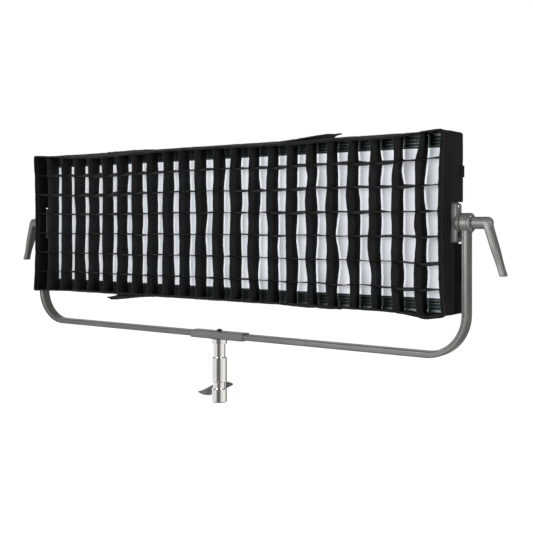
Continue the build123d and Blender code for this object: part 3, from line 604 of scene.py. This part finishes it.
def crossing_shifts():
    """How far each crossing of the dividers is out of square, at the front and at the back."""
    generator = random.Random(5)
    shifts = {}
    for column in range(COLUMNS + 1):
        slack = 0.7 + 0.9 * column / COLUMNS
        for row in range(ROWS + 1):
            edge_x = column in (0, COLUMNS)
            edge_z = row in (0, ROWS)
            values = []
            for _ in ("front", "back"):
                dx = 0.0 if edge_x else generator.gauss(0, slack * MM)
                dz = 0.0 if edge_z else generator.gauss(0, 0.8 * MM)
                values.append((dx, dz))
            shifts[column, row] = values
    return shifts


SHIFTS = crossing_shifts()


def cell_waves(seed, count, spread):
    """One slack bulge for each cell along a strip, at its front and back edge."""
    generator = random.Random(seed)
    return [(generator.gauss(0, spread), generator.gauss(0, spread)) for _ in range(count)]


def make_upright(column, cloth):
    """An upright divider, slack between its crossings."""
    x0 = -HALF_L + column * CELL
    slack = (0.5 + 1.0 * column / COLUMNS) * MM
    own = cell_waves(100 + column, ROWS, 0.55 * slack)
    waves = []
    for row, (front, back) in enumerate(own):
        shared = slack * ripple(x0 + 0.31 * row, 90 + row, longest=0.5)
        waves.append((front + shared, back + shared))
    fronts = [SHIFTS[column, row][0][0] for row in range(ROWS + 1)]
    backs = [SHIFTS[column, row][1][0] for row in range(ROWS + 1)]
    points, uvs = [], []
    for k in range(ROWS * PER_CELL + 1):
        t = k / PER_CELL
        cell = min(ROWS - 1, int(t))
        z = -HALF_H + t * CELL
        z = max(-HALF_H + WALL, min(HALF_H - WALL, z))
        bulge = math.sin(math.pi * (t - cell))
        pinch = 0.5 * MM * bulge ** 0.5
        for d in range(DEEP):
            s = d / (DEEP - 1)
            y = FRONT + 0.8 * MM + pinch * (1 - s) + (DIVIDER_BACK - FRONT - 1.2 * MM) * s
            dx = smooth_between(fronts, t) * (1 - s) + smooth_between(backs, t) * s
            dx += bulge * (waves[cell][0] * (1 - s) + waves[cell][1] * s)
            dx += 0.35 * MM * bulge * ripple(z * 2 + s * 0.05, 300 + column, longest=0.06)
            points.append(warp(x0, y, z) + Vector((dx, 0, 0)))
            uvs.append((z, y))
    faces = grid_faces(ROWS * PER_CELL + 1, DEEP)
    piece = cloth_piece(f"upright_divider_{column:02d}", points, faces, uvs, cloth, STRIP)
    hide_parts("upright_strips")


def make_cross(row, cloth):
    """A lengthwise divider, set back from the front edge and drooping in each cell."""
    z0 = -HALF_H + row * CELL
    waves = cell_waves(200 + row, COLUMNS, 0.9 * MM)
    slides, drops = [[[SHIFTS[column, row][end][axis] for column in range(COLUMNS + 1)] for end in (0, 1)]
                     for axis in (0, 1)]
    points, uvs = [], []
    for k in range(COLUMNS * PER_CELL + 1):
        t = k / PER_CELL
        cell = min(COLUMNS - 1, int(t))
        x = -HALF_L + t * CELL
        x = max(-HALF_L + WALL, min(HALF_L - WALL, x))
        bulge = math.sin(math.pi * (t - cell))
        for d in range(DEEP):
            s = d / (DEEP - 1)
            y = FRONT + 3.2 * MM + (DIVIDER_BACK - FRONT - 3.7 * MM) * s
            dz = 0.0
            dx = 0.0
            for end, share in ((0, 1 - s), (1, s)):
                dz += share * (smooth_between(drops[end], t) + bulge * (waves[cell][end] - 0.8 * MM))
                dx += share * smooth_between(slides[end], t)
            points.append(warp(x, y, z0) + Vector((dx, 0, dz)))
            uvs.append((x, y))
    faces = grid_faces(COLUMNS * PER_CELL + 1, DEEP)
    piece = cloth_piece(f"cross_divider_{row}", points, faces, uvs, cloth, STRIP)
    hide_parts("cross_strips")


# ---- flaps -------------------------------------------------------------------------------------
FLAP_LENGTH = 120 * MM
FLAP_HALF = 19 * MM  # half its greatest width
FLAP_X = 210 * MM  # its middle, to either side
FLAP_Y = -18 * MM
FLAP_WIDEST = 0.42  # shares of the length from the root
FLAP_TIP = 0.8
LEAF = 0.8 * MM  # thickness of each of a flap's two layers


def leaf_half(s):
    """Half the flap's width at a share s of its length."""
    if s < FLAP_WIDEST:
        swell = 0.35 + 0.65 * ease(s / FLAP_WIDEST)
    else:
        swell = 1 - ((s - FLAP_WIDEST) / (1 - FLAP_WIDEST)) ** 2.2
    return max(FLAP_HALF * swell, 1.6 * MM)


def make_flap(name, node, side, up, lift, cloth):
    """Leaf-shaped pull flap of two layers, sewn down along its root and rear edge, its front edge
    curling off the wall."""
    across, along = 11, 31
    for layer, gap, plumpness in (("upper", 1.0 * MM, 0.6 * MM), ("lower", 0.4 * MM, -0.1 * MM)):
        points, uvs = [], []
        for k in range(along):
            s = k / (along - 1)
            half = leaf_half(s)
            x = side * (FLAP_X + FLAP_LENGTH * (s - 0.5))
            tip = ease((s - FLAP_TIP) / (1 - FLAP_TIP))
            for j in range(across):
                a = j / (across - 1) * 2 - 1
                rear = (a + 1) / 2
                rise = lift * ease(s * 1.5) * (1 - 0.3 * tip) * (1 - rear * (1 - 0.8 * tip))
                plump = (1 - a * a) * min(1.0, 4 * s) * plumpness
                crease = 0.35 * MM * ripple(x + a * 0.02, 60 + side + up, longest=0.05) * ease(s * 3)
                base = on_wall((x, HALF_H * up, 0, up), FLAP_Y + a * half, gap * min(1.0, 0.5 + 3 * s))
                points.append(base + Vector((0, 0, up * (rise + plump + crease))))
                uvs.append((x, a * half))
        piece = cloth_piece(f"{name}_{layer}", points, grid_faces(along, across), uvs, cloth, LEAF)
        if layer == "upper":
            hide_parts(node)


# ---- build -------------------------------------------------------------------------------------
make_camera()
make_world()
make_stage()
materials = build_materials()

slot_of = {s["node"]: s["material_slot"] for s in record["subparts"]}
for name, node in nodes.items():
    node.data.materials.clear()
    node.data.materials.append(materials[slot_of[name]])
    node.data.shade_smooth()
    node.data.set_sharp_from_angle(angle=math.radians(32))

make_skirt(materials["black_cloth"])
make_hem(materials["black_cloth"])
for column in range(1, COLUMNS):
    make_upright(column, materials["divider_cloth"])
for row in range(1, ROWS):
    make_cross(row, materials["cross_cloth"])
make_flap("flap_top_right", "top_flaps", 1, 1, 9.0 * MM, materials["flap_cloth"])
make_flap("flap_top_left", "top_flaps", -1, 1, 0.0, materials["flap_cloth"])
make_flap("flap_bottom_left", "bottom_flaps", -1, -1, 11.0 * MM, materials["flap_cloth"])
make_flap("flap_bottom_right", "bottom_flaps", 1, -1, 0.5 * MM, materials["flap_cloth"])
